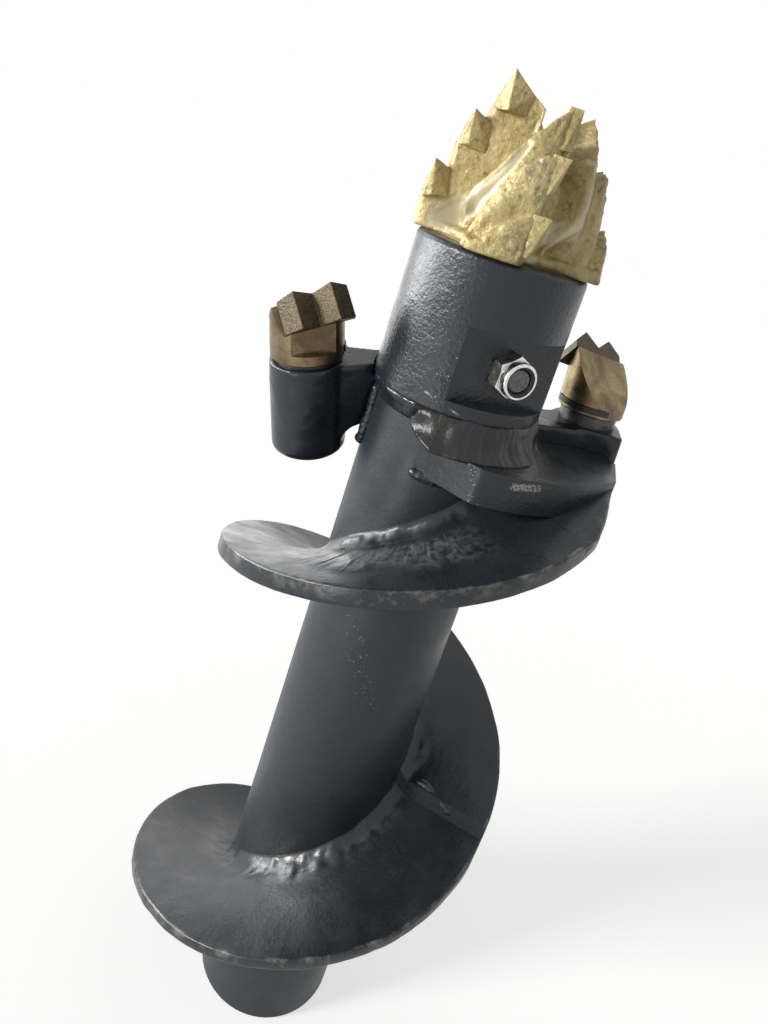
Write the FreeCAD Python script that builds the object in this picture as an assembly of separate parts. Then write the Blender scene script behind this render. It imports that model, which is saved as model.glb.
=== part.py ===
import FreeCAD, Part
import math
import os
from FreeCAD import Vector

# Rock auger bit, in millimetres.
# The origin is the centre of the drive socket's mouth, on the flat lower end of the stem.
# +Z runs up the stem to the point of the pilot bit, and the photographed side faces -Y.
# Angles are in degrees about +Z from +X, and the bit cuts by turning the way they grow.

# Stem tube and the drive sleeve inside its lower end
TUBE_OUTSIDE = 76.1
TUBE_WALL = 8.0
STEM_LENGTH = 373.0
SLEEVE_BORE = 45.0
SLEEVE_LENGTH = 90.0
SLEEVE_CLEARANCE = 0.1
DRIVE_PIN_HOLE = 16.5
DRIVE_PIN_HEIGHT = 34.0
TUBE_END_CHAMFER = 1.5

# Pilot holder, the collar welded on top of the tube
HOLDER_OUTSIDE = 85.0
HOLDER_HEIGHT = 72.0
HOLDER_EDGE_ROUND = 3.0
HOLDER_SPIGOT = 25.0
HOLDER_WELD_LEG = 7.0
SOCKET_ACROSS_FLATS = 41.4
SOCKET_DEPTH = 62.0
FLAT_DEPTH = 10.2
FLAT_TOP_BELOW_RIM = 31.0
FLAT_BOTTOM_BELOW_RIM = 66.0
BOLT_ANGLE = -54.5
BOLT_BELOW_RIM = 49.0

# Cross bolt with its self-locking nut
BOLT_DIAMETER = 12.0
BOLT_HOLE = 13.0
BOLT_HEAD_ACROSS_FLATS = 18.0
BOLT_HEAD_HEIGHT = 7.5
BOLT_TIP_CHAMFER = 1.0
NUT_ACROSS_FLATS = 18.5
NUT_HEX_HEIGHT = 8.0
NUT_HEIGHT = 12.5
NUT_LIP_OUTSIDE = 17.8
NUT_LIP_WALL = 1.5
NUT_RING_BORE = 12.6
BOLT_BELOW_NUT_LIP = 1.2

# Pilot bit casting
SHANK_ACROSS_FLATS = 41.0
SHANK_LENGTH = 60.0
PILOT_BASE_RADIUS = 44.0
# Radius and height above the rim of points down the smooth flute between two wings
FLUTE = ((0.0, 60.0), (10.0, 47.0), (16.0, 35.0), (23.0, 23.0), (35.0, 6.5), (PILOT_BASE_RADIUS, 5.0))
WING_ANGLES = (180.0, -90.0, 0.0, 90.0)
WING_DROPS = (0.0, 9.0, 8.0, 9.0)
WING_SECTIONS = 7
# The wings' cutting faces stand ahead of the axis by this much
WING_OFFSET = 9.5
WING_CROWN = (1.6, 67.0)
# Each tooth's point and the foot of its outer edge, as distance along the wing and height
WING_TEETH = (
    ((20.5, 79.0), (24.6, 60.0)),
    ((32.1, 57.7), (35.6, 40.5)),
    ((42.6, 32.0), (44.6, 13.0)),
)
# Each tooth's ledge behind its face: its sweep in degrees, how late it falls and how far it spreads
WING_LEDGES = ((74.0, 1.4, 18.0), (45.0, 2.3, 6.0), (33.0, 1.6, 3.5))
WING_SINK = 4.0
NOTCH_OVERLAP = 4.0
NOTCH_RISE = 4.2
# Hard plates: width at the foot and thickness at each tooth's point and foot
TIP_WIDTH = 13.0
TIP_THICKNESS = ((4.2, 5.5), (6.0, 3.2), (6.0, 3.2))

# Flights: rings of plate drawn out to one right-hand helix and welded to the tube
FLIGHT_DIAMETER = 184.6
FLIGHT_PITCH = 190.0
FLIGHT_ROOT_GAP = 0.25
LEAD_PLATE = 9.0
LEAD_BELOW_STEM_TOP = 63.0
LEAD_FRONT_ANGLE = -90.0
LEAD_START_ANGLE = -15.0
LEAD_END_ANGLE = -375.0
MAIN_PLATE = 6.0
MAIN_LAP = 22.0
MAIN_WELD_ABOVE_END = 2.9
LAP_GAP = 0.2
FLIGHT_WELD_LEG = 8.0

# Carrier plate, which sweeps out from the stem to the outer tooth holder
CARRIER_PLATE = 17.0
CARRIER_BELOW_STEM_TOP = 15.5
CARRIER_STEM_GAP = 0.2
CARRIER_BEND_ROUND = 7.0
# Angle and radius along its outer edge: the straight nose, the bend, the sweep and the straight end
CARRIER_NOSE = (-103.5, 38.0)
CARRIER_BEND = (-67.5, 56.8)
CARRIER_SWEEP = ((-41.0, 65.6), (-17.5, 78.2), (-5.0, 88.2))
CARRIER_END = (12.5, 92.8)

# Tooth holders: blocks with a round front and a square back, on a neck welded to the stem
BLOCK_RADIUS = 18.6
BLOCK_HEIGHT = 50.0
BLOCK_CORNER_ROUND = 3.0
BLOCK_FOOT_ROUND = 5.0
NECK_TOP = 1.0
NECK_BOTTOM = 34.0
NECK_HOLLOW = 11.0
# Each neck's two sides, as distances ahead of its middle line at the block and then at the stem
INNER_NECK = ((-18.0, -14.0), (14.0, 4.0))
OUTER_NECK = ((-16.0, -12.0), (16.0, 12.0))
HOLDER_STEM_GAP = 0.2
HOLDER_PLATE_GAP = 0.2
# Each seat gives the mouth centre's angle, radius and depth below the stem's top, how far the tooth
# leans outward and forward, how far the tooth and then the block are turned on their own axis, all
# in degrees, then the gap under the tooth's shoulder and the neck's sides.
INNER_SEAT = (-170.5, 75.0, 4.7, 15.0, 10.0, 18.5, 2.0, 2.0, INNER_NECK)
OUTER_SEAT = (32.0, 85.5, 4.5, -3.0, 1.0, 2.5, -31.0, 6.4, OUTER_NECK)

# Teeth: a round body with a flange, a side slot, a raked back and an inclined double-ridged insert
TOOTH_RADIUS = 18.0
TOOTH_HEIGHT = 38.4
TOOTH_SHANK_RADIUS = 11.0
TOOTH_SHANK_LENGTH = 30.0
TOOTH_SHANK_CLEARANCE = 0.1
TOOTH_RING_RADIUS = 15.5
TOOTH_EDGE_ROUND = 1.0
TOOTH_FRONT_FLAT = 14.5
TOOTH_BACK_SLOPE = 50.0
TOOTH_CREST_AHEAD = 11.2
TOOTH_TILT = 10.8
SLOT_FLOOR = 2.2
SLOT_HEIGHT = 3.4
SLOT_REACH = 11.2
SLOT_TURN = 118.0
BAND_RADIUS = 18.7
BAND_CLEARANCE = 0.2
INSERT_LENGTH = 18.2
INSERT_LEAN = 33.0
INSERT_BACKING = 4.0
INSERT_RIDGE_DEPTH = 6.5
INSERT_HALF_WIDTH = 16.8
INSERT_RIDGE_OFFSET = 8.9

RIM = STEM_LENGTH + HOLDER_HEIGHT
CARRIER_TOP = STEM_LENGTH - CARRIER_BELOW_STEM_TOP
TUBE_RADIUS = TUBE_OUTSIDE / 2
HOLDER_RADIUS = HOLDER_OUTSIDE / 2
FLIGHT_RADIUS = FLIGHT_DIAMETER / 2
UP = Vector(0, 0, 1)
ORIGIN = Vector(0, 0, 0)


def radial(angle):
    """Unit vector away from the axis at an angle."""
    return Vector(math.cos(math.radians(angle)), math.sin(math.radians(angle)), 0)


def forward(angle):
    """Unit vector the way the bit turns at an angle."""
    return radial(angle + 90)


def polar(radius, angle, z=0.0):
    return radial(angle) * radius + UP * z


def prism(points, direction):
    """Solid swept straight from a closed outline."""
    return Part.Face(Part.makePolygon(points + points[:1])).extrude(direction)


def hexagon(across_flats, height, base, direction=UP, turn=0.0):
    """Hexagonal bar from base along direction."""
    corner_radius = across_flats / math.sqrt(3)
    points = [polar(corner_radius, turn + 60 * i) for i in range(6)]
    return seated(prism(points, UP * height), base, direction)


def seated(shape, base, z_axis, x_axis=None):
    """Copy of a shape drawn about the origin, moved to base with its Z along z_axis."""
    z_axis = Vector(z_axis).normalize()
    if x_axis is None:
        x_axis = UP if abs(z_axis.z) < 0.9 else Vector(1, 0, 0)
    y_axis = z_axis.cross(x_axis).normalize()
    x_axis = y_axis.cross(z_axis).normalize()
    moved = shape.copy()
    turn = FreeCAD.Rotation(x_axis, y_axis, z_axis, "ZXY")
    moved.Placement = FreeCAD.Placement(base, turn).multiply(shape.Placement)
    return moved


def revolved(profile):
    """Solid of revolution about the axis from (radius, height) pairs."""
    points = [Vector(r, 0, z) for r, z in profile]
    return Part.Face(Part.makePolygon(points + points[:1])).revolve(ORIGIN, UP, 360)


def save(name, shape):
    """Writes one node's solid or group of solids."""
    shape = shape.removeSplitter() if len(shape.Solids) == 1 else shape
    for solid in shape.Solids:
        if not solid.isValid():
            print("not valid:", name)
    print(f"{name}: {len(shape.Solids)} solid, {shape.Volume / 1000:.1f} cm3")
    shape.exportStep(f"parts/{name}.step")


def stem_envelope(gap):
    """The tube and the pilot holder with room round them, cut out of what is welded on."""
    tube = Part.makeCylinder(TUBE_RADIUS + gap, STEM_LENGTH)
    weld_gap = gap + FLIGHT_ROOT_GAP
    weld = Part.makeCone(TUBE_RADIUS + weld_gap, HOLDER_RADIUS + weld_gap, HOLDER_WELD_LEG,
                         UP * (STEM_LENGTH - HOLDER_WELD_LEG))
    collar = Part.makeCylinder(HOLDER_RADIUS + gap, HOLDER_HEIGHT, UP * STEM_LENGTH)
    return tube.fuse([weld, collar])


# Stem

def drive_pin_bore():
    """Cross hole for the driver's pin, through tube and sleeve."""
    start = Vector(-TUBE_OUTSIDE, 0, DRIVE_PIN_HEIGHT)
    return Part.makeCylinder(DRIVE_PIN_HOLE / 2, 2 * TUBE_OUTSIDE, start, Vector(1, 0, 0))


def stem_tube():
    outside = Part.makeCylinder(TUBE_RADIUS, STEM_LENGTH)
    lower_rim = [e for e in outside.Edges if e.BoundBox.ZMax < 0.01]
    outside = outside.makeChamfer(TUBE_END_CHAMFER, lower_rim)
    inside = Part.makeCylinder(TUBE_RADIUS - TUBE_WALL, STEM_LENGTH)
    return outside.cut([inside, drive_pin_bore()])


def drive_sleeve():
    outside = Part.makeCylinder(TUBE_RADIUS - TUBE_WALL - SLEEVE_CLEARANCE, SLEEVE_LENGTH)
    inside = Part.makeCylinder(SLEEVE_BORE / 2, SLEEVE_LENGTH)
    return outside.cut([inside, drive_pin_bore()])


# Pilot holder and its bolt

def bolt_bore():
    """Cross hole for the pilot's bolt, along the normal of the milled flats."""
    side = radial(BOLT_ANGLE)
    start = UP * (RIM - BOLT_BELOW_RIM) - side * HOLDER_OUTSIDE
    return Part.makeCylinder(BOLT_HOLE / 2, 2 * HOLDER_OUTSIDE, start, side)


def milled_flat(angle):
    """Block removed to leave a flat seat on the collar's side."""
    seat = HOLDER_RADIUS - FLAT_DEPTH
    height = FLAT_BOTTOM_BELOW_RIM - FLAT_TOP_BELOW_RIM
    block = Part.makeBox(HOLDER_OUTSIDE, HOLDER_OUTSIDE, height, Vector(seat, -HOLDER_RADIUS, 0))
    block.rotate(ORIGIN, UP, angle)
    block.translate(UP * (RIM - FLAT_BOTTOM_BELOW_RIM))
    return block


def pilot_holder():
    """Collar with a spigot into the tube, a weld fillet under it and a hexagon socket."""
    spigot = TUBE_RADIUS - TUBE_WALL - SLEEVE_CLEARANCE
    body = revolved([
        (0, STEM_LENGTH - HOLDER_SPIGOT),
        (spigot, STEM_LENGTH - HOLDER_SPIGOT),
        (spigot, STEM_LENGTH),
        (TUBE_RADIUS, STEM_LENGTH),
        (HOLDER_RADIUS, STEM_LENGTH),
        (HOLDER_RADIUS, RIM),
        (0, RIM),
    ])
    top_edge = [e for e in body.Edges if e.BoundBox.ZMin > RIM - 0.01 and e.Length > HOLDER_OUTSIDE]
    body = body.makeFillet(HOLDER_EDGE_ROUND, top_edge)
    fillet = revolved([
        (TUBE_RADIUS + FLIGHT_ROOT_GAP, STEM_LENGTH - HOLDER_WELD_LEG),
        (HOLDER_RADIUS, STEM_LENGTH),
        (TUBE_RADIUS + FLIGHT_ROOT_GAP, STEM_LENGTH),
    ])
    socket = hexagon(SOCKET_ACROSS_FLATS, SOCKET_DEPTH, UP * (RIM - SOCKET_DEPTH), UP, BOLT_ANGLE)
    flats = [milled_flat(BOLT_ANGLE), milled_flat(BOLT_ANGLE + 180)]
    return body.fuse(fillet).cut([socket, bolt_bore()] + flats)


def pilot_bolt():
    """Hexagon-head bolt from the far flat to just below the nut's lip."""
    side = radial(BOLT_ANGLE)
    middle = UP * (RIM - BOLT_BELOW_RIM)
    seat = HOLDER_RADIUS - FLAT_DEPTH
    length = 2 * seat + NUT_HEIGHT - BOLT_BELOW_NUT_LIP
    stud = Part.makeCylinder(BOLT_DIAMETER / 2, length)
    tip = [e for e in stud.Edges if e.BoundBox.ZMin > length - 0.01]
    stud = stud.makeChamfer(BOLT_TIP_CHAMFER, tip)
    head = hexagon(BOLT_HEAD_ACROSS_FLATS, BOLT_HEAD_HEIGHT, UP * -BOLT_HEAD_HEIGHT)
    crown = Part.makeCone(BOLT_HEAD_ACROSS_FLATS / 2, BOLT_HEAD_ACROSS_FLATS,
                          BOLT_HEAD_ACROSS_FLATS / 2, UP * -BOLT_HEAD_HEIGHT)
    bolt = stud.fuse(head.common(crown))
    return seated(bolt, middle - side * seat, side)


def nut_seat():
    return UP * (RIM - BOLT_BELOW_RIM) + radial(BOLT_ANGLE) * (HOLDER_RADIUS - FLAT_DEPTH)


def pilot_nut():
    """Hexagon with chamfered corners below and a turned lip that holds the locking ring."""
    hexagonal = hexagon(NUT_ACROSS_FLATS, NUT_HEX_HEIGHT, ORIGIN)
    corner = NUT_ACROSS_FLATS / math.sqrt(3)
    chamfer = corner - NUT_ACROSS_FLATS / 2
    rounding = revolved([
        (0, 0), (NUT_ACROSS_FLATS / 2, 0), (corner, chamfer / 2), (corner, NUT_HEX_HEIGHT - chamfer / 2),
        (NUT_ACROSS_FLATS / 2, NUT_HEX_HEIGHT), (0, NUT_HEX_HEIGHT),
    ])
    lip = Part.makeCylinder(NUT_LIP_OUTSIDE / 2, NUT_HEIGHT)
    lip_edge = [e for e in lip.Edges if e.BoundBox.ZMin > NUT_HEIGHT - 0.01]
    lip = lip.makeFillet(NUT_LIP_WALL * 0.6, lip_edge)
    thread = Part.makeCylinder(BOLT_DIAMETER / 2 + SLEEVE_CLEARANCE, NUT_HEIGHT)
    recess_depth = NUT_HEIGHT - NUT_HEX_HEIGHT
    recess = Part.makeCylinder(NUT_LIP_OUTSIDE / 2 - NUT_LIP_WALL, recess_depth, UP * NUT_HEX_HEIGHT)
    nut = hexagonal.common(rounding).fuse(lip).cut([thread, recess])
    return seated(nut, nut_seat(), radial(BOLT_ANGLE))


def nut_lock_ring():
    """Plastic ring pressed into the nut's lip."""
    height = NUT_HEIGHT - NUT_HEX_HEIGHT - 2 * NUT_LIP_WALL * 0.6
    outside = Part.makeCylinder(NUT_LIP_OUTSIDE / 2 - NUT_LIP_WALL, height)
    ring = outside.cut(Part.makeCylinder(NUT_RING_BORE / 2, height))
    return seated(ring, nut_seat() + radial(BOLT_ANGLE) * NUT_HEX_HEIGHT, radial(BOLT_ANGLE))


# Pilot bit

def flute_height(radius):
    """Height of the smooth flute's floor at a radius."""
    for (inner, high), (outer, low) in zip(FLUTE, FLUTE[1:]):
        if radius <= outer:
            return high + (low - high) * (radius - inner) / (outer - inner)
    return FLUTE[-1][1]


def on_wing(angle, reach, ahead, height):
    """Point on a wing turned to an angle, ahead of its axial plane and above the rim."""
    return radial(angle) * reach + forward(angle) * ahead + UP * (RIM + height)


def ledge_start(level):
    """Where a tooth's upper edge starts, inside the tooth above it."""
    if level == 0:
        return WING_CROWN
    return WING_TEETH[level - 1][1][0] - NOTCH_OVERLAP, WING_TEETH[level][0][1] - NOTCH_RISE


def ledge_section(angle, drop, level, share):
    """One tooth's outline in one upright plane, eased to just under the flute's floor by share."""
    sweep, lateness, spread = WING_LEDGES[level]
    outward = spread * share ** 1.5
    start = ledge_start(level)
    point, foot = WING_TEETH[level]
    edge = [start, (point[0] + outward, point[1]), (foot[0] + outward, foot[1])]
    points = [on_wing(angle - sweep * share, start[0], WING_OFFSET, 0)]
    for reach, height in edge:
        fade = share ** lateness
        low = flute_height(math.hypot(reach, WING_OFFSET)) - WING_SINK
        height = (height - drop) * (1 - fade) + low * fade
        points.append(on_wing(angle - sweep * share, reach, WING_OFFSET, height))
    points.append(on_wing(angle - sweep * share, foot[0] + outward, WING_OFFSET, 0))
    return Part.makePolygon(points + points[:1])


def ledge(angle, drop, level):
    """One tooth of a wing, highest at its cutting face and falling away behind it to the flute."""
    shares = [i / (WING_SECTIONS - 1) for i in reversed(range(WING_SECTIONS))]
    return Part.makeLoft([ledge_section(angle, drop, level, share) for share in shares], True, True)


def pilot_bit():
    """Casting with four stepped wings on a fluted core, above the hexagon shank."""
    core = revolved([(0, RIM), (PILOT_BASE_RADIUS, RIM)] + [(r, RIM + z) for r, z in reversed(FLUTE)])
    shank = hexagon(SHANK_ACROSS_FLATS, SHANK_LENGTH, UP * (RIM - SHANK_LENGTH), UP, BOLT_ANGLE)
    wings = []
    tips = []
    for angle, drop in zip(WING_ANGLES, WING_DROPS):
        for level in range(len(WING_TEETH)):
            wings.append(ledge(angle, drop, level))
            tips.append(pilot_tip(angle, drop, level))
    return core.fuse([shank] + wings).cut([bolt_bore()] + tips)


def pilot_tip(wing_angle, drop, level):
    """Hard plate on the cutting face of one wing tooth."""
    point, foot = WING_TEETH[level]
    at_point, at_foot = TIP_THICKNESS[level]
    corners = [
        point,
        foot,
        (foot[0] - TIP_WIDTH, foot[1] + TIP_WIDTH / 4),
        (point[0] - TIP_WIDTH / 4, point[1] - TIP_WIDTH / 4),
    ]
    back = []
    front = []
    for along, up in corners:
        thick = at_point + (at_foot - at_point) * (point[1] - up) / (point[1] - foot[1])
        back.append(on_wing(wing_angle, along, WING_OFFSET, up - drop))
        front.append(on_wing(wing_angle, along, WING_OFFSET + thick, up - drop))
    outlines = [Part.makePolygon(points + points[:1]) for points in (back, front)]
    return Part.makeLoft(outlines, True, True)


# Flights

def flight_top(angle):
    """Height of the lead flight's upper face at an angle."""
    front = STEM_LENGTH - LEAD_BELOW_STEM_TOP
    return front + FLIGHT_PITCH * (angle - LEAD_FRONT_ANGLE) / 360


def flight(start, end, plate, top_drop):
    """Helical plate with its weld fillets, from the lower angle end up to start."""
    turns = (start - end) / 360
    inner = TUBE_RADIUS + FLIGHT_ROOT_GAP
    leg = FLIGHT_WELD_LEG
    low = flight_top(end) - top_drop
    profile = [
        (inner, leg), (inner + leg, 0), (FLIGHT_RADIUS, 0),
        (FLIGHT_RADIUS, -plate), (inner + leg, -plate), (inner, -plate - leg),
    ]
    points = [Vector(r, 0, z) for r, z in profile]
    section = Part.makePolygon(points + points[:1])
    path = Part.makeHelix(FLIGHT_PITCH, FLIGHT_PITCH * turns, TUBE_RADIUS)
    solid = Part.Wire(path).makePipeShell([section], True, True)
    solid.rotate(ORIGIN, UP, end)
    solid.translate(UP * low)
    return solid


def lead_flight():
    """One full ring, cut off level under the carrier plate at its leading end."""
    ring = flight(LEAD_START_ANGLE, LEAD_END_ANGLE, LEAD_PLATE, 0)
    above = Part.makeCylinder(FLIGHT_DIAMETER, RIM, UP * (CARRIER_TOP - CARRIER_PLATE))
    return ring.cut(above)


def main_flight():
    """The next ring, lapped under the tail of the lead flight."""
    start = LEAD_END_ANGLE + MAIN_LAP
    below_lead = LEAD_PLATE + LAP_GAP
    end_top = MAIN_WELD_ABOVE_END + FLIGHT_WELD_LEG + MAIN_PLATE + below_lead
    end = start - 360 * (flight_top(start) - end_top) / FLIGHT_PITCH
    ring = flight(start, end, MAIN_PLATE, below_lead)
    lead = flight(LEAD_START_ANGLE, LEAD_END_ANGLE, LEAD_PLATE + LAP_GAP / 2, 0)
    return ring.cut(lead)


# Carrier plate

def carrier_plate():
    """Plate with a straight nose, a rounded bend and a curved sweep out to the tooth holder."""
    base = CARRIER_TOP - CARRIER_PLATE
    nose = polar(CARRIER_NOSE[1], CARRIER_NOSE[0], base)
    bend = polar(CARRIER_BEND[1], CARRIER_BEND[0], base)
    sweep = Part.BSplineCurve()
    sweep.interpolate([bend] + [polar(radius, angle, base) for angle, radius in CARRIER_SWEEP])
    holder_centre = polar(OUTER_SEAT[1], OUTER_SEAT[0], base)
    end = polar(CARRIER_END[1], CARRIER_END[0], base)
    inside = [sweep.EndPoint, end, holder_centre, UP * base, nose, bend]
    outline = Part.Wire([sweep.toShape()] + Part.makePolygon(inside).Edges)
    plate = Part.Face(outline).extrude(UP * CARRIER_PLATE)
    corner = [e for e in plate.Edges if len(e.Vertexes) == 2
              and all(abs(v.X - bend.x) + abs(v.Y - bend.y) < 0.01 for v in e.Vertexes)]
    plate = plate.makeFillet(CARRIER_BEND_ROUND, corner)
    return plate.cut([stem_envelope(CARRIER_STEM_GAP), holder_block(OUTER_SEAT, HOLDER_PLATE_GAP)])


# Tooth holders and teeth

def on_seat(shape, seat, turn):
    """Moves a shape drawn with its mouth at the origin and facing +X to a holder's seat."""
    angle, radius, depth, outward, ahead = seat[:5]
    axis = UP + radial(angle) * math.tan(math.radians(outward)) + forward(angle) * math.tan(math.radians(ahead))
    return seated(shape, polar(radius, angle, STEM_LENGTH - depth), axis, forward(angle + turn))


def block(gap):
    """Holder's block: a half-round front and a square back over a rounded foot."""
    radius = BLOCK_RADIUS + gap
    height = BLOCK_HEIGHT + 2 * gap
    floor = -BLOCK_HEIGHT - gap
    back = Part.makeBox(radius, 2 * radius, height, Vector(-radius, -radius, floor))
    corners = [e for e in back.Edges if e.Length > height - 0.01 and e.BoundBox.XMax < 0.01 - radius]
    back = back.makeFillet(BLOCK_CORNER_ROUND, [e for e in corners if e.BoundBox.ZLength > height - 0.01])
    solid = back.fuse(Part.makeCylinder(radius, height, UP * floor)).removeSplitter()
    foot = [e for e in solid.Edges if e.BoundBox.ZMax < floor + 0.01]
    return solid if gap else solid.makeFillet(BLOCK_FOOT_ROUND, foot)


def neck(seat, gap):
    """Arm from the block to the stem, narrowing as it goes, with a hollow under its root."""
    (back_wide, back_narrow), (front_wide, front_narrow) = seat[8]
    near = seat[1] - HOLDER_RADIUS
    far = seat[1] - TUBE_RADIUS / 2
    plan = [
        (back_wide - gap, 0), (back_narrow - gap, near), (back_narrow - gap, far),
        (front_narrow + gap, far), (front_narrow + gap, near), (front_wide + gap, 0),
    ]
    above = prism([Vector(x, y, -BLOCK_HEIGHT) for x, y in plan], UP * BLOCK_HEIGHT)
    under = -NECK_BOTTOM - gap
    outline = [(0, gap - NECK_TOP), (far, gap - NECK_TOP), (far, under)]
    for step in range(7):
        turn = math.radians(15 * step)
        outline.append((BLOCK_RADIUS - 2 + NECK_HOLLOW * (1 - math.sin(turn)),
                        under - NECK_HOLLOW * (1 - math.cos(turn))))
    outline.append((0, under - NECK_HOLLOW))
    beside = prism([Vector(-2 * BLOCK_RADIUS, y, z) for y, z in outline], Vector(4 * BLOCK_RADIUS, 0, 0))
    return above.common(beside)


def holder_block(seat, gap):
    """Block and neck in place, uncut."""
    return on_seat(block(gap), seat, seat[6]).fuse(on_seat(neck(seat, gap), seat, 0))


def tooth_holder(seat):
    """Block welded to the stem, bored for the tooth's shank."""
    bore_depth = TOOTH_SHANK_LENGTH + 2
    bore = Part.makeCylinder(TOOTH_SHANK_RADIUS + TOOTH_SHANK_CLEARANCE, bore_depth, UP * -bore_depth)
    return holder_block(seat, 0).cut([on_seat(bore, seat, 0), stem_envelope(HOLDER_STEM_GAP)])


def crest():
    """Middle of the tooth's cutting edge, above the tooth's shoulder."""
    return Vector(TOOTH_CREST_AHEAD, 0, TOOTH_HEIGHT)


def on_crest(shape):
    """Moves a shape drawn against the insert's upright face to its inclined place on the tooth."""
    lean = math.radians(INSERT_LEAN)
    moved = seated(shape, crest(), Vector(-math.sin(lean), 0, math.cos(lean)),
                   Vector(math.cos(lean), 0, math.sin(lean)))
    moved.rotate(crest(), Vector(1, 0, 0), TOOTH_TILT)
    return moved


def raked_back():
    """What lies above the tooth's back face, which falls away from the cutting edge."""
    slope = math.radians(TOOTH_BACK_SLOPE)
    size = 10 * TOOTH_RADIUS
    block = Part.makeBox(size, size, size, Vector(-size / 2, -size / 2, 0))
    block = seated(block, crest(), Vector(-math.sin(slope), 0, math.cos(slope)))
    block.rotate(crest(), Vector(1, 0, 0), TOOTH_TILT)
    return block


def on_shoulder(shape, seat):
    """Moves a shape drawn from the tooth's shoulder up to the tooth's place over its seat."""
    lifted = shape.copy()
    lifted.translate(UP * seat[7])
    return on_seat(lifted, seat, seat[5])


def tooth_insert(seat):
    """Hard insert with two ridges, cut off at the top by the tooth's raked back."""
    back = -INSERT_RIDGE_DEPTH - INSERT_BACKING
    width = INSERT_HALF_WIDTH
    plan = [
        (back, -width), (-INSERT_RIDGE_DEPTH, -width), (0, -INSERT_RIDGE_OFFSET), (-INSERT_RIDGE_DEPTH, 0),
        (0, INSERT_RIDGE_OFFSET), (-INSERT_RIDGE_DEPTH, width), (back, width),
    ]
    blank = prism([Vector(x, y, -INSERT_LENGTH) for x, y in plan], UP * 2 * INSERT_LENGTH)
    return on_shoulder(on_crest(blank).cut(raked_back()), seat)


def insert_pocket():
    """Room for the insert, open to the front, the top and both sides."""
    size = 4 * TOOTH_RADIUS
    corner = Vector(-INSERT_RIDGE_DEPTH - INSERT_BACKING, -size / 2, -INSERT_LENGTH)
    return on_crest(Part.makeBox(size, size, size, corner))


def side_slot(height, clearance):
    """Straight slot across one side of the tooth, just above its flange."""
    size = 2 * TOOTH_RADIUS
    slot = Part.makeBox(TOOTH_RADIUS, 2 * size, height, Vector(SLOT_REACH + clearance, -size, SLOT_FLOOR))
    slot.rotate(ORIGIN, UP, SLOT_TURN)
    return slot


def tooth_body(seat):
    """Flanged round body over its shank, with a slot for the dark band and a seat for the insert."""
    body = Part.makeCylinder(TOOTH_RADIUS, TOOTH_HEIGHT + TOOTH_RADIUS)
    foot = [e for e in body.Edges if e.BoundBox.ZMax < 0.01]
    body = body.makeFillet(TOOTH_EDGE_ROUND, foot)
    size = 4 * TOOTH_RADIUS
    front = Part.makeBox(size, size, size, Vector(TOOTH_FRONT_FLAT, -size / 2, SLOT_FLOOR + SLOT_HEIGHT))
    body = body.cut([front, raked_back(), insert_pocket(), side_slot(SLOT_HEIGHT, 0)])
    length = TOOTH_SHANK_LENGTH + seat[7]
    shank = Part.makeCylinder(TOOTH_SHANK_RADIUS, length, UP * -length)
    return on_shoulder(body.fuse(shank), seat)


def tooth_band(seat):
    """Dark band in the tooth's side slot, standing a little proud of it."""
    band = Part.makeCylinder(BAND_RADIUS, TOOTH_HEIGHT)
    return on_shoulder(band.common(side_slot(SLOT_HEIGHT - BAND_CLEARANCE, BAND_CLEARANCE)), seat)


def tooth_ring(seat):
    """Retaining ring on the shank, filling the gap between the tooth's shoulder and the holder."""
    outside = Part.makeCylinder(TOOTH_RING_RADIUS, seat[7])
    inside = Part.makeCylinder(TOOTH_SHANK_RADIUS + TOOTH_SHANK_CLEARANCE, seat[7])
    return on_seat(outside.cut(inside), seat, 0)


def main():
    os.makedirs("parts", exist_ok=True)
    save("stem_tube", stem_tube())
    save("drive_sleeve", drive_sleeve())
    save("pilot_holder", pilot_holder())
    save("pilot_bolt", pilot_bolt())
    save("pilot_nut", pilot_nut())
    save("nut_lock_ring", nut_lock_ring())
    save("pilot_bit", pilot_bit())
    for number, (angle, drop) in enumerate(zip(WING_ANGLES, WING_DROPS), 1):
        for level, place in enumerate(("top", "middle", "low")):
            save(f"pilot_tip_{place}_{number}", pilot_tip(angle, drop, level))
    save("lead_flight", lead_flight())
    save("main_flight", main_flight())
    save("carrier_plate", carrier_plate())
    for place, seat in (("inner", INNER_SEAT), ("outer", OUTER_SEAT)):
        save(f"{place}_tooth_holder", tooth_holder(seat))
        save(f"{place}_tooth", tooth_body(seat))
        save(f"{place}_tooth_insert", tooth_insert(seat))
        save(f"{place}_tooth_band", tooth_band(seat))
        save(f"{place}_tooth_ring", tooth_ring(seat))


main()
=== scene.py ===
"""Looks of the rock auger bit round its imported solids, for Blender 4.5, in the solids' own frame."""

import math

import bmesh
import bpy
import numpy as np
from mathutils import Matrix, Vector


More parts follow.
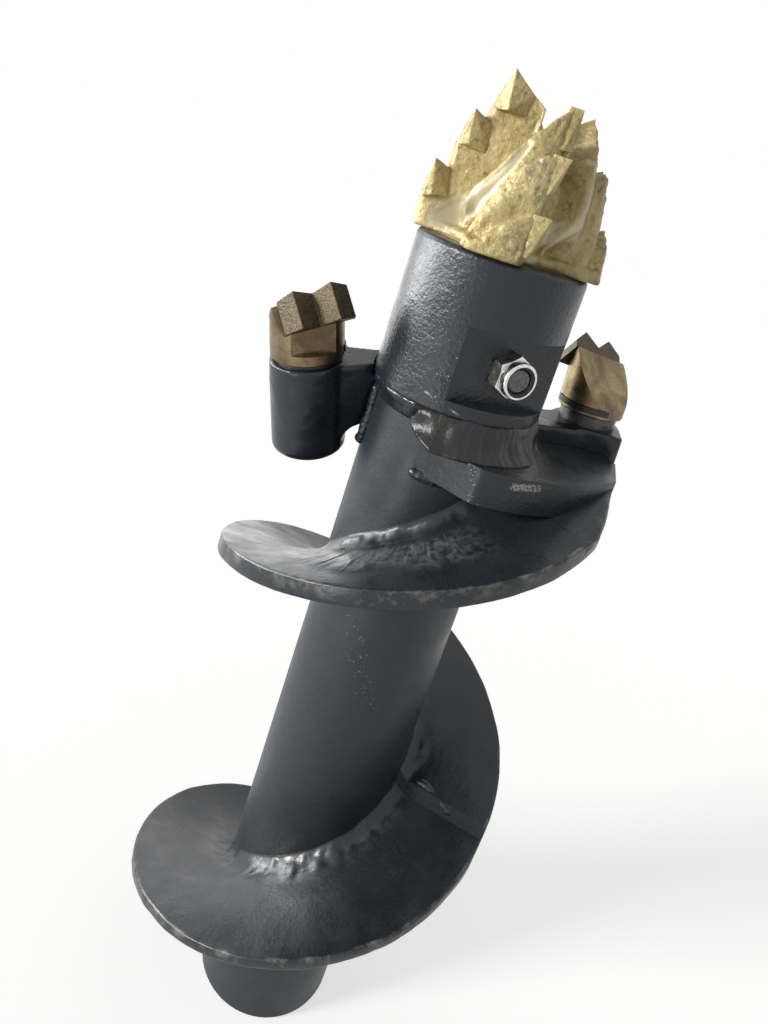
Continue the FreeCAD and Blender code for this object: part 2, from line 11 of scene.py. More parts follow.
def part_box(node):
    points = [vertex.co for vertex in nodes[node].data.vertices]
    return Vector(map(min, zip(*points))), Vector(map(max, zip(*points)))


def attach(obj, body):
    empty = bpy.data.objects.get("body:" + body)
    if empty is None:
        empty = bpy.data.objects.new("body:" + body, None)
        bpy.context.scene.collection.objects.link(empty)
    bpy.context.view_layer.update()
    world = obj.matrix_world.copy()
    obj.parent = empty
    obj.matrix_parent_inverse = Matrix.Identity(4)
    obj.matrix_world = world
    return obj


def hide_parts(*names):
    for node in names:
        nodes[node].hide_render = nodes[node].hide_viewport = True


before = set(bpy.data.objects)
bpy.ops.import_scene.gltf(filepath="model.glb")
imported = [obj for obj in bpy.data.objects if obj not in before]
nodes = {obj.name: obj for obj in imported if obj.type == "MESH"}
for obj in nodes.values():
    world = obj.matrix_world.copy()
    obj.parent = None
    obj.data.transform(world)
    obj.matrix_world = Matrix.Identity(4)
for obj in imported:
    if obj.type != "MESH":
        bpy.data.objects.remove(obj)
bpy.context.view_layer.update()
scene = bpy.context.scene

# Sizes are in millimetres and angles in degrees, and MM turns a size into Blender's metres
MM = 0.001


def box_side(name, end, axis):
    """Where the box of a solid ends along an axis: its low side for end 0 and its high side for end 1."""
    return round(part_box(name)[end][axis] / MM, 2)


# Sizes read from the solids
TUBE_RADIUS = box_side("stem_tube", 1, 0)
COLLAR_FOOT = box_side("stem_tube", 1, 2)
COLLAR_RADIUS = box_side("pilot_holder", 1, 0)
RIM = box_side("pilot_holder", 1, 2)
FLIGHT_RADIUS = box_side("lead_flight", 1, 0)
CARRIER_UNDERSIDE = box_side("carrier_plate", 0, 2)
CARRIER_TOP = box_side("carrier_plate", 1, 2)

# Flights: the helix of their top faces, their plates, and the angles where each one starts and ends
FLIGHT_PITCH = 190.0
FLIGHT_FRONT = -90.0
FLIGHT_TOP_AT_FRONT = 310.0
LEAD_PLATE = 9.0
LEAD_START, LEAD_END = -15.0, -375.0
MAIN_PLATE = 6.0
MAIN_DROP = LEAD_PLATE + 0.2
MAIN_START = -353.0
MAIN_END_TOP = 26.1
FLIGHT_STEP = 0.8
FLIGHT_WELD_LEG = 7.0
FLIGHT_EDGE_ROUND = 1.0

# Radius of the carrier plate's outer edge by angle
CARRIER_EDGE = ((-41, 65.6), (-29, 71.3), (-17.5, 78.2), (-5, 88.2), (2, 91.4), (12.5, 92.8))
# Radius of the lead flight's outer edge by angle where it draws in beside the carrier plate
NOSE_EDGE = ((-27, FLIGHT_RADIUS), (-20, 90.5), (-15, 89.1), (-10, 88.1), (-4, 87.5))
NOSE_START, NOSE_END = -4.0, -38.0
# The scuffed patch on the lead flight: radii where it fades in and out, and angles likewise
SCUFF_RADII = (46, 54, 68, 80)
SCUFF_ANGLES = (-152, -128, -74, -50)

# The pilot bit's wings: each one's angle and how much lower it stands, and the plane of its cutting face
WINGS = ((180, 0), (-90, 9), (0, 8), (90, 9))
WING_FACE = 9.5
# Each tooth's point and foot as (reach, height above the rim), with its hard tip's thickness at both
TEETH = (((20.5, 79), (24.6, 60), 4.2, 5.5), ((32.1, 57.7), (35.6, 40.5), 6.0, 3.2),
         ((42.6, 32), (44.6, 13), 6.0, 3.2))
# Each tooth's tip: its ridge's foot from the tooth's foot, and its inner corners from the tooth's point
TIP_RIDGE_FOOT = ((-6.2, 0.6), (-4.9, 1.4), (-4.9, 2.6))
TIP_INNER = (((-11.4, -8.4), (-10.4, -18.4)), ((-8.7, -4.6), (-9.5, -17.6)), ((-7.6, -3.0), (-9.6, -15.6)))
# The smooth band up a flute beside the wing at 180 degrees: x, y, height above the rim, half width
FLUTE_BAND = ((-8, 30, 15, 9), (-10, 25, 22, 7.4), (-27, 20, 28, 5), (-29, 15, 37, 3.5), (-29, 9, 48, 2.4),
              (-27, 5, 58, 1.8), (-10, 5, 65.5, 1.5), (-9.5, 4.5, 69, 1))
# The wing whose band shows in full, and how much of the band shows beside the others, where the weaker band
# is painted shade
LIT_BAND_WING = -90
SHADED_BAND = 0.35
# Rough hard-facing near a tooth's foot: how far ahead, up and out its middles lie, where it fades, and how
# strong it is at each of a wing's teeth
CLOT_PLACES = ((5, 2, -1), (3, 9, -2.5))
CLOT_FADE = (4.5, 8.5)
CLOT_STRENGTHS = (0.45, 1.0, 1.0)
# How far the casting's base is drawn in, and the angles past a wing where that fades in and out
BASE_DRAW = 13.0
BASE_DRAW_ANGLES = (8, 20, 52, 66)
# Skins of the cast forms: the size of their quads, and how many rounds soften them
CASTING_VOXEL, CASTING_SOFTENING = 0.95, 16
HOLDER_VOXEL, HOLDER_SOFTENING = 0.75, 10
TIP_VOXEL = 0.5

# Noise layers: amount and wavelength in millimetres, and seed
SAND = ((0.3, 7.5, 11), (0.26, 3.4, 12), (0.17, 1.8, 13))
TIP_GRAIN = ((0.1, 3.0, 61), (0.08, 1.4, 62))
HOLDER_WAVES = ((0.12, 9.0, 41), (0.05, 3.0, 42))
# The same for forms that are made more than once, whose own seed is added
FLIGHT_RUN = ((0.6, 5.5, 1), (0.25, 2.6, 5))
FLIGHT_SWAY = ((0.35, 14.0, 2), (0.18, 5.0, 3))
SKIRT_LUMPS = ((1.1, 10.0, 0), (0.45, 5.0, 1), (0.12, 2.2, 2))

# Weld fillets round the stem: (distance out from the tube, height from the collar's foot)
UNDER_COLLAR = ((-0.15, 0.3), (2.95, 0.2), (4.25, -1.2), (3.95, -3.0), (2.85, -4.8), (1.55, -6.8),
                (0.55, -9.2), (-0.15, -10.5))
ON_CARRIER = ((-0.15, 0.3), (3.15, 0.2), (5.35, -1.6), (5.95, -4.2), (6.35, -7.0), (7.55, -10.0),
              (9.55, -12.6), (12.15, -14.8), (13.45, -16.4), (-0.15, -16.6))
SKIRT_STEP = 0.5
SKIRT_RIPPLES_PER_TURN = 72
BEAD_STEP = 0.6
BEAD_SIDES = 16
BEAD_PITCH = 3.6
# The necks that carry the two tooth holders: the angles of their sides and the heights of their ends
INNER_NECK_FRONT, INNER_NECK_BACK = -164.0, -193.0
INNER_NECK_LOW, NECK_TOP = 335.0, 367.0
OUTER_NECK_FRONT, OUTER_NECK_BACK, OUTER_NECK_LOW = 12.5, 51.5, 338.0
LAP_WELD = ((46.0, -9.5, 158.5), (52.0, -10.5, 160.2), (61.0, -14.0, 158.4), (71.0, -18.0, 153.6))

# Paint: its own tones, what shows where it is worn, and the tone of scratches and painted glints
BLACK_PAINT = (0.012, 0.018, 0.025)
BURNT_PAINT = (0.013, 0.0125, 0.012)
PAINT_DUST = (0.085, 0.09, 0.09)
WORN_RIM = (0.21, 0.21, 0.19)
SCUFFED_STEEL = (0.2, 0.22, 0.24)
# Bare steel in the plate's scratch, and the same pale tone as painted highlights in the glints
SCRATCH_AND_GLINT_TONE = (0.42, 0.42, 0.4)
ORANGE_PEEL_SCALE = 520.0
# Painted glints, which are painted highlights, and one bare scratch: start, end, width, strength, and whether
# it is a whole line or separate drops.
# Those on the tube and on the collar start and end at (angle, height), and those on the plate at points.
# On the tube and on the collar all of them are painted glints
TUBE_GLINTS = (((-108.3, 255.3), (-96.1, 238.0), 7.0, 0.5, False),
              ((-94.5, 240.0), (-77.2, 214.9), 8.0, 0.45, False))
COLLAR_GLINTS = (((-94.1, 412.0), (-99.1, 377.0), 2.6, 0.9, False),
                ((-102.9, 393.0), (-100.4, 376.0), 3.5, 0.8, False),
                ((-107.8, 379.2), (-84.6, 374.6), 0.8, 0.8, True),
                ((-120.4, 440.0), (-107.1, 405.0), 4.0, 0.6, False))
# On the plate the first is a bare scratch, and the other two are painted glints
PLATE_SCRATCH_AND_GLINTS = (((37.5, -48.5, 353.3), (48.6, -43.6, 354.5), 2.2, 0.9, True),
               ((15.1, -49.1, 356.8), (56.0, -37.5, 357.5), 0.5, 0.6, True),
               ((17.0, -50.4, 354.0), (22.0, -51.8, 342.0), 5.0, 0.7, False))

# Tones of the gold casting
GOLD_DULL = (0.42, 0.33, 0.14)
GOLD = (0.6, 0.5, 0.25)
# Painted shade, in dark patches laid by noise
GOLD_SHADE_PATCH = (0.17, 0.12, 0.045)
GOLD_GRAIN = (0.7, 0.62, 0.38)
# Painted shade in the pits
GOLD_PIT_SHADE = (0.1, 0.07, 0.03)
BAND_TONE = (0.46, 0.41, 0.27)
# A painted highlight along both edges of the band
BAND_EDGE_HIGHLIGHT = (0.72, 0.66, 0.46)
CLOT_TONE = (0.16, 0.125, 0.075)
CLOT_GLINT = (0.75, 0.7, 0.52)
# Each tooth's plating: name, warm tone, pale tone and grain. Then the tones both share, and the inserts' own.
PLATINGS = {"inner": ("plating_yellow", (0.13, 0.09, 0.05), (0.24, 0.19, 0.11), 0.03),
            "outer": ("plating_pale", (0.15, 0.1, 0.065), (0.34, 0.28, 0.13), 0.02)}
PLATING_RED = (0.12, 0.07, 0.055)
PLATING_SPECK = (0.06, 0.045, 0.03)
INSERT_DARK = (0.035, 0.029, 0.015)
INSERT_LIGHT = (0.11, 0.093, 0.045)
INSERT_BROWN = (0.13, 0.085, 0.05)
INSERT_CRYSTAL = (0.5, 0.46, 0.3)

# Camera: place, turns in radians and picture
CAMERA_PLACE = (0.0, -376.9, 478.5)
CAMERA_YAW, CAMERA_PITCH, CAMERA_ROLL = 0.0482, -0.2348, -0.3176
LENS = 27.66
SENSOR_WIDTH = 36.0
SHIFT_X, SHIFT_Y = -0.0462, -0.158

# Lamps: name, azimuth and height, strength, spread, colour, and whether it lights matt surfaces
SUNS = (
    ("sun_left", 212, 10, 3.6, 14, (1.0, 0.98, 0.94), True),
    ("gloss_left", 180, 4, 3.0, 26, (0.98, 0.99, 1.0), False),
    ("gloss_back", 148, 22, 1.0, 34, (0.95, 0.98, 1.0), False),
)
# Panels that show only as reflections: name, centre, width, height and watts, and the point they face
PANELS = (
    ("panel_left", (-700, 120, 330), 520, 150, 3.2),
    ("panel_back", (-340, 610, 270), 420, 300, 0.58),
    ("panel_front", (-246, -431, 160), 90, 110, 0.35),
)
PANEL_AIM = (0, 0, 350)
# Strength of the world on matt surfaces, and where it is seen itself
WORLD_LIGHT = 0.22
WORLD_SEEN = 1.0
# The white floor: it glows for the same rays
FLOOR_TONE = (0.9, 0.9, 0.9)
FLOOR_GLOW = 0.6
FLOOR_REACH = 6000
FLOOR_DEPTH = 0.2


# Camera

def place_camera():
    data = bpy.data.cameras.new("photo_camera")
    camera = add_object("photo_camera", data)
    scene.camera = camera
    data.lens = LENS
    data.sensor_width = SENSOR_WIDTH
    data.shift_x = SHIFT_X
    data.shift_y = SHIFT_Y
    data.clip_start = 10 * MM
    right, up, ahead = Vector((1, 0, 0)), Vector((0, 0, 1)), Vector((0, 1, 0))
    yaw = Matrix.Rotation(CAMERA_YAW, 3, up)
    right, ahead = yaw @ right, yaw @ ahead
    pitch = Matrix.Rotation(CAMERA_PITCH, 3, right)
    up, ahead = pitch @ up, pitch @ ahead
    roll = Matrix.Rotation(CAMERA_ROLL, 3, ahead)
    right, up = roll @ right, roll @ up
    turned = Matrix((right, up, -ahead)).transposed().to_4x4()
    camera.matrix_world = Matrix.Translation(Vector(CAMERA_PLACE) * MM) @ turned


# Numeric helpers

def lattice_values(cells, seed):
    """One repeatable number from -1 to 1 for each lattice point, by an integer hash."""
    c = cells.astype(np.int64)
    h = (c[:, 0] * 73856093) ^ (c[:, 1] * 19349663) ^ (c[:, 2] * 83492791) ^ (seed * 2654435761)
    h = (h ^ (h >> 13)) * 1274126177 & 0xFFFFFFFF
    h = (h ^ (h >> 16)) & 0xFFFF
    return h / 32767.5 - 1.0


def noise(points, wavelength, seed):
    """Smooth noise from -1 to 1 at points in millimetres."""
    p = np.asarray(points, float) / wavelength
    base = np.floor(p)
    f = p - base
    f = f * f * (3 - 2 * f)
    total = np.zeros(len(p))
    for dx in (0, 1):
        for dy in (0, 1):
            for dz in (0, 1):
                weight = np.abs(1 - dx - f[:, 0]) * np.abs(1 - dy - f[:, 1]) * np.abs(1 - dz - f[:, 2])
                total += weight * lattice_values(base + (dx, dy, dz), seed)
    return total


def layered(points, layers, seed=0):
    """Sum of noise layers, each an amount, a wavelength and a seed that is added to the form's own."""
    return sum(amount * noise(points, wavelength, seed + own) for amount, wavelength, own in layers)


def smoothstep(low, high, x):
    """0 below low, 1 above high, and smooth between them."""
    t = np.clip((x - low) / (high - low), 0, 1)
    return t * t * (3 - 2 * t)


def plateau(rise, top, fall, end, x):
    """0 outside rise and end, 1 between top and fall."""
    return smoothstep(rise, top, x) * (1 - smoothstep(fall, end, x))


def polar(radius, angle, z):
    a = math.radians(angle)
    return np.array([radius * math.cos(a), radius * math.sin(a), z])


def by_angle(table, angle):
    """Value at an angle in a table of (angle, value)."""
    return np.interp(angle, *zip(*table))


# Mesh helpers

def add_object(name, data):
    obj = bpy.data.objects.new(name, data)
    scene.collection.objects.link(obj)
    return obj


def shade_smooth(mesh):
    mesh.polygons.foreach_set("use_smooth", [True] * len(mesh.polygons))


def mesh_object(name, points, faces):
    """Smooth object from points in millimetres."""
    mesh = bpy.data.meshes.new(name)
    mesh.from_pydata((np.asarray(points) * MM).tolist(), [], faces)
    mesh.update()
    shade_smooth(mesh)
    return add_object(name, mesh)


def ring_object(name, points, count):
    """Closed object from rings of count points each, one after another, with a face across either end."""
    last = len(points) - count
    faces = []
    for first in range(0, last, count):
        for j in range(count):
            k = (j + 1) % count
            faces.append((first + j, first + k, first + count + k, first + count + j))
    faces.append(tuple(range(count)))
    faces.append(tuple(reversed(range(last, last + count))))
    obj = mesh_object(name, points, faces)
    bm = bmesh.new()
    bm.from_mesh(obj.data)
    bmesh.ops.recalc_face_normals(bm, faces=bm.faces)
    bm.to_mesh(obj.data)
    bm.free()
    return obj


def evaluated(obj):
    """Replaces an object's mesh by what its modifiers make of it."""
    depsgraph = bpy.context.evaluated_depsgraph_get()
    made = bpy.data.meshes.new_from_object(obj.evaluated_get(depsgraph))
    obj.modifiers.clear()
    obj.data = made
    return obj


def copy_of(name, source):
    """Object with a node's mesh, its double vertices merged."""
    bm = bmesh.new()
    bm.from_mesh(nodes[source].data)
    bmesh.ops.remove_doubles(bm, verts=bm.verts, dist=0.002 * MM)
    mesh = bpy.data.meshes.new(name)
    bm.to_mesh(mesh)
    bm.free()
    return add_object(name, mesh)


def get_points(mesh):
    points = np.empty(len(mesh.vertices) * 3)
    mesh.vertices.foreach_get("co", points)
    return points.reshape(-1, 3) / MM


def get_normals(mesh):
    normals = np.empty(len(mesh.vertices) * 3)
    mesh.vertices.foreach_get("normal", normals)
    return normals.reshape(-1, 3)


def set_points(mesh, points):
    mesh.vertices.foreach_set("co", (points * MM).ravel())
    mesh.update()


def store(mesh, name, values):
    """Keeps one number for each vertex for a material to read."""
    layer = mesh.attributes.new(name, "FLOAT", "POINT")
    layer.data.foreach_set("value", np.asarray(values, dtype=np.float32))


def add_voxel_skin(obj, voxel):
    remesh = obj.modifiers.new("skin", "REMESH")
    remesh.mode = "VOXEL"
    remesh.voxel_size = voxel * MM


def bevelled(name, source, width, segments=3, sharp=30.0):
    """Copy of a node with its flat faces made whole and its sharp edges rounded off."""
    obj = copy_of(name, source)
    bm = bmesh.new()
    bm.from_mesh(obj.data)
    bmesh.ops.dissolve_limit(bm, angle_limit=math.radians(0.3), verts=bm.verts, edges=bm.edges)
    bm.to_mesh(obj.data)
    bm.free()
    bevel = obj.modifiers.new("rounding", "BEVEL")
    bevel.width = width * MM
    bevel.segments = segments
    bevel.limit_method = "ANGLE"
    bevel.angle_limit = math.radians(sharp)
    bevel.miter_outer = "MITER_ARC"
    evaluated(obj)
    shade_smooth(obj.data)
    obj.data.set_sharp_from_angle(angle=math.radians(sharp + 12))
    weighted = obj.modifiers.new("flat_faces", "WEIGHTED_NORMAL")
    weighted.keep_sharp = True
    return evaluated(obj)


def cast(name, source, voxel, soften):
    """A node as one skin of small quads with softened edges and filled corners."""
    obj = copy_of(name, source)
    add_voxel_skin(obj, voxel)
    smooth = obj.modifiers.new("soften", "SMOOTH")
    smooth.factor = 0.5
    smooth.iterations = soften
    evaluated(obj)
    shade_smooth(obj.data)
    return obj


def give(obj, material):
    obj.data.materials.clear()
    obj.data.materials.append(material)


def settle(obj, material, node_names):
    """Gives a piece its material and its body, and hides the nodes that it stands for."""
    give(obj, material)
    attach(obj, "root")
    if node_names:
        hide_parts(*node_names)


# Material helpers

class Nodes:
    """Thin wrappers that add nodes to a tree and join them."""

    def __init__(self, tree):
        self.tree = tree

    def feed(self, socket, value):
        if isinstance(value, bpy.types.NodeSocket):
            self.tree.links.new(value, socket)
        elif socket.type == "RGBA":
            socket.default_value = (*value, 1.0)
        else:
            socket.default_value = value

    def node(self, kind, inputs=None, **settings):
        made = self.tree.nodes.new(kind)
        for key, value in settings.items():
            setattr(made, key, value)
        for key, value in (inputs or {}).items():
            self.feed(made.inputs[key], value)
        return made

    def remap(self, value, low, high, to_low=0.0, to_high=1.0):
        inputs = {"Value": value, "From Min": low, "From Max": high, "To Min": to_low, "To Max": to_high}
        return self.node("ShaderNodeMapRange", inputs).outputs["Result"]

    def maths(self, operation, a, b=0.0, c=0.0):
        return self.node("ShaderNodeMath", {0: a, 1: b, 2: c}, operation=operation).outputs[0]

    def times(self, a, b):
        return self.maths("MULTIPLY", a, b)

    def background_rays(self):
        """1 for the rays that show a background: the camera's own, and those off gloss or through glass."""
        rays = self.node("ShaderNodeLightPath").outputs
        indirect = self.maths("MAXIMUM", rays["Is Glossy Ray"], rays["Is Transmission Ray"])
        return self.maths("MAXIMUM", rays["Is Camera Ray"], indirect)


class Look(Nodes):
    """A procedural material under construction."""

    def __init__(self, name):
        self.material = bpy.data.materials.new(name)
        self.material.use_nodes = True
        super().__init__(self.material.node_tree)
        self.shader = self.tree.nodes["Principled BSDF"]
        self.place = self.tree.nodes.new("ShaderNodeTexCoord").outputs["Object"]

    def noise(self, scale, detail=2.0, rough=0.5, distortion=0.0, place=None):
        inputs = {"Vector": place or self.place, "Scale": scale, "Detail": detail,
                  "Roughness": rough, "Distortion": distortion}
        return self.node("ShaderNodeTexNoise", inputs).outputs["Fac"]

    def cells(self, scale):
        """Distance to the nearest of many scattered points."""
        return self.node("ShaderNodeTexVoronoi", {"Vector": self.place, "Scale": scale}).outputs["Distance"]

    def mix(self, share, a, b):
        return self.node("ShaderNodeMix", {0: share, 6: a, 7: b}, data_type="RGBA").outputs[2]

    def bump(self, height, distance, before=None):
        inputs = {"Height": height, "Distance": distance * MM, "Strength": 1.0}
        if before is not None:
            inputs["Normal"] = before
        return self.node("ShaderNodeBump", inputs).outputs["Normal"]

    def stored(self, name):
        return self.node("ShaderNodeAttribute", attribute_name=name).outputs["Fac"]

    def vector(self, operation, inputs):
        made = self.node("ShaderNodeVectorMath", inputs, operation=operation)
        return made.outputs["Value" if operation in ("DOT_PRODUCT", "LENGTH") else "Vector"]

    def stroke(self, start, end, width):
        """1 on a line between two points in millimetres, fading to 0 at width from it."""
        a, b = Vector(start) * MM, Vector(end) * MM
        from_start = self.vector("SUBTRACT", {0: self.place, 1: tuple(a)})
        along = self.vector("DOT_PRODUCT", {0: from_start, 1: tuple((b - a) / (b - a).length_squared)})
        along = self.remap(along, 0.0, 1.0)
        on_line = self.vector("SCALE", {0: tuple(b - a), "Scale": along})
        away = self.vector("LENGTH", {0: self.vector("SUBTRACT", {0: from_start, 1: on_line})})
        return self.remap(away, 0.0, width * MM, 1.0, 0.0)

    def circles(self, across, around):
        """Coordinates that follow circles about the stem: radius and turn, each with its own scale."""
        parts = self.node("ShaderNodeSeparateXYZ", {"Vector": self.place})
        x, y = parts.outputs[0], parts.outputs[1]
        radius = self.maths("SQRT", self.maths("ADD", self.times(x, x), self.times(y, y)))
        turn = self.maths("ARCTAN2", y, x)
        inputs = {"X": self.times(radius, across), "Y": self.times(turn, around)}
        return self.node("ShaderNodeCombineXYZ", inputs).outputs["Vector"]

    def set(self, **values):
        for key, value in values.items():
            self.feed(self.shader.inputs[key.replace("_", " ")], value)


# Materials

def add_wear(look, colour):
    """Bare rim and streaked scuffs where the mesh stores them."""
    edge = look.times(look.stored("wear"), look.remap(look.noise(90.0, 4.0, 0.7), 0.46, 0.7))
    colour = look.mix(look.remap(edge, 0.1, 0.8, 0.0, 0.75), colour, WORN_RIM)
    streaks = look.noise(1.0, 4.0, 0.65, 0.8, look.circles(260.0, 16.0))
    scuff = look.times(look.stored("scuff"), look.remap(streaks, 0.38, 0.66))
    return look.mix(look.remap(scuff, 0.0, 1.0, 0.0, 0.6), colour, SCUFFED_STEEL)


def add_scratch_or_glint(look, colour, start, end, width, strength, whole):
    """A scratch or a painted glint, as a whole line or as a trail of drops."""
    drops = look.remap(look.cells(720.0), 0.08, 0.3, 1.0, 0.0)
    if whole:
        gate = look.remap(look.noise(900.0, 3.0, 0.7), 0.4, 0.6)
    else:
        gate = look.remap(look.noise(330.0, 3.0, 0.7), 0.46, 0.6)
    line = look.times(look.remap(look.stroke(start, end, width), 0.0, 0.5), gate)
    if not whole:
        line = look.times(line, drops)
    return look.mix(look.remap(line, 0.1, 0.7, 0.0, strength), colour, SCRATCH_AND_GLINT_TONE)


def paint(name, peel, wave, rough, dust, tone=BLACK_PAINT, wear=False, marks=()):
    """Gloss paint with orange peel, slow waviness, grit and thin dust, and wear, scratches and painted glints
    where asked for.
    """
    look = Look(name)
    grit = look.remap(look.cells(420.0), 0.0, 0.16, 1.0, 0.0)
    grit = look.times(grit, look.remap(look.noise(160.0, 0.0), 0.5, 0.62))
    normal = look.bump(look.noise(110.0, 1.0, 0.4), wave)
    normal = look.bump(look.noise(ORANGE_PEEL_SCALE, 3.0, 0.6), peel, normal)
    normal = look.bump(grit, 0.08, normal)
    if wear:
        ripples = look.noise(1.0, 1.0, 0.4, 0.8, look.circles(38.0, 11.0))
        normal = look.bump(look.times(ripples, look.stored("scuff")), 1.3, normal)
    patches = look.remap(look.noise(38.0, 4.0, 0.6, 0.4), 0.45, 0.75)
    grain = look.remap(look.noise(1500.0, 1.0), 0.5, 0.72)
    dusty = look.times(look.times(look.maths("MULTIPLY_ADD", patches, 0.7, 0.3), grain), dust)
    colour = look.mix(dusty, tone, PAINT_DUST)
    if wear:
        colour = add_wear(look, colour)
    # Scratches, and painted highlights drawn as pale glints
    for mark in marks:
        colour = add_scratch_or_glint(look, colour, *mark)
    look.set(Base_Color=colour, IOR=1.45, Normal=normal)
    look.set(Roughness=look.remap(look.noise(70.0, 3.0), 0.3, 0.7, *rough))
    return look.material


def round_marks(marks, radius):
    """Marks whose ends are (angle, height) on a round face, with their ends as points."""
    return [(polar(radius, *start), polar(radius, *end), *rest) for start, end, *rest in marks]


def casting_look():
    """Gold paint on a rough sand casting, with painted shade in dark noise patches and in its pits, smooth
    and pale along the flutes, with a painted highlight along the band's edges.
    """
    look = Look("gold_casting_rough")
    band = look.stored("band")
    clots = look.stored("clots")
    rough_share = look.maths("SUBTRACT", 1.0, look.times(band, 0.9))
    lumps = look.noise(120.0, 2.0, 0.5)
    sand = look.noise(430.0, 3.0, 0.6)
    grain = look.noise(1100.0, 3.0, 0.65)
    holes = look.remap(look.cells(300.0), 0.0, 0.28, 0.0, 1.0)
    hole_share = look.times(look.remap(look.noise(75.0, 2.0), 0.5, 0.6), rough_share)
    pits = look.maths("SUBTRACT", 1.0, look.times(look.maths("SUBTRACT", 1.0, holes), hole_share))
    normal = look.bump(look.times(lumps, rough_share), 0.5)
    normal = look.bump(look.times(sand, rough_share), 0.6, normal)
    normal = look.bump(look.times(grain, rough_share), 0.2, normal)
    normal = look.bump(pits, 0.3, normal)
    tone = look.mix(look.remap(look.noise(26.0, 4.0, 0.6), 0.38, 0.64), GOLD_DULL, GOLD)
    # Painted shade in dark patches laid by noise
    tone = look.mix(look.remap(look.noise(240.0, 3.0, 0.6), 0.56, 0.72, 0.0, 0.7), tone, GOLD_SHADE_PATCH)
    tone = look.mix(look.remap(look.noise(900.0, 2.0, 0.6), 0.58, 0.75, 0.0, 0.5), tone, GOLD_GRAIN)
    # Painted shade in the pits
    tone = look.mix(look.remap(pits, 0.0, 0.6, 0.75, 0.0), tone, GOLD_PIT_SHADE)
    tone = look.mix(look.remap(band, 0.15, 0.8, 0.0, 0.85), tone, BAND_TONE)
    # A painted highlight along both edges of the band
    band_edges = look.times(band, look.maths("SUBTRACT", 1.0, band))
    tone = look.mix(look.remap(band_edges, 0.05, 0.25, 0.0, 0.8), tone, BAND_EDGE_HIGHLIGHT)
    burnt = look.times(clots, look.remap(look.noise(330.0, 3.0, 0.65), 0.42, 0.62))
    tone = look.mix(look.remap(burnt, 0.1, 0.9, 0.0, 0.55), tone, CLOT_TONE)
    glint = look.times(clots, look.remap(look.noise(800.0, 2.0), 0.56, 0.68))
    tone = look.mix(look.remap(glint, 0.1, 0.7, 0.0, 0.4), tone, CLOT_GLINT)
    look.set(Base_Color=tone, Metallic=0.25, IOR=1.45, Normal=normal)
    look.set(Roughness=look.remap(sand, 0.3, 0.7, 0.38, 0.62))
    return look.material


def plating_look(name, warm, pale, grain):
    """Yellow passivated zinc with drifting reddish and pale areas over a turned surface."""
    look = Look(name)
    tone = look.mix(look.remap(look.noise(55.0, 3.0, 0.55, 0.6), 0.36, 0.66), warm, pale)
    tone = look.mix(look.remap(look.noise(90.0, 2.0, 0.5, 1.2), 0.55, 0.7, 0.0, 0.5), tone, PLATING_RED)
    tone = look.mix(look.remap(look.noise(900.0, 2.0), 0.55, 0.7, 0.0, 0.4), tone, PLATING_SPECK)
    normal = look.bump(look.noise(260.0, 3.0, 0.6), 0.05)
    normal = look.bump(look.noise(1600.0, 2.0, 0.6), grain, normal)
    look.set(Base_Color=tone, Metallic=0.9, Normal=normal)
    look.set(Roughness=look.remap(look.noise(200.0, 3.0), 0.3, 0.7, 0.26, 0.42))
    return look.material


def insert_look():
    """Grainy yellow-grey hard metal with sparkling crystals."""
    look = Look("insert_grain")
    crystals = look.cells(1500.0)
    coarse = look.noise(900.0, 3.0, 0.7)
    tone = look.mix(look.remap(coarse, 0.4, 0.62), INSERT_DARK, INSERT_LIGHT)
    tone = look.mix(look.remap(look.noise(120.0, 3.0, 0.6), 0.4, 0.65, 0.0, 0.5), tone, INSERT_BROWN)
    tone = look.mix(look.remap(crystals, 0.0, 0.22, 0.6, 0.0), tone, INSERT_CRYSTAL)
    normal = look.bump(coarse, 0.16)
    normal = look.bump(crystals, 0.08, normal)
    look.set(Base_Color=tone, Metallic=0.5, Normal=normal)
    look.set(Roughness=look.remap(coarse, 0.3, 0.7, 0.3, 0.55))
    return look.material


def metal_look(name, tone, rough, scale, grain, metallic=1.0, dark=0.6):
    """Plain metal with fine wear marks, darker by the share dark, and uneven gloss."""
    look = Look(name)
    worn = look.remap(look.noise(scale, 4.0, 0.65), 0.4, 0.7)
    look.set(Base_Color=look.mix(worn, tone, tuple(c * dark for c in tone)))
    look.set(Metallic=metallic, Normal=look.bump(look.noise(scale * 3, 2.0), grain))
    look.set(Roughness=look.remap(look.noise(scale * 0.5, 3.0), 0.3, 0.7, rough * 0.75, rough * 1.35))
    return look.material


# Flights

def flight_top(angle):
    return FLIGHT_TOP_AT_FRONT + FLIGHT_PITCH * (angle - FLIGHT_FRONT) / 360


def flight_angle(top):
    return FLIGHT_FRONT + 360 * (top - FLIGHT_TOP_AT_FRONT) / FLIGHT_PITCH


def arc(centre, radius, start, end, steps):
    """Points round part of a circle as (radius from the axis, height)."""
    turns = np.radians(np.linspace(start, end, steps))
    return [(centre[0] + radius * math.cos(t), centre[1] + radius * math.sin(t)) for t in turns]


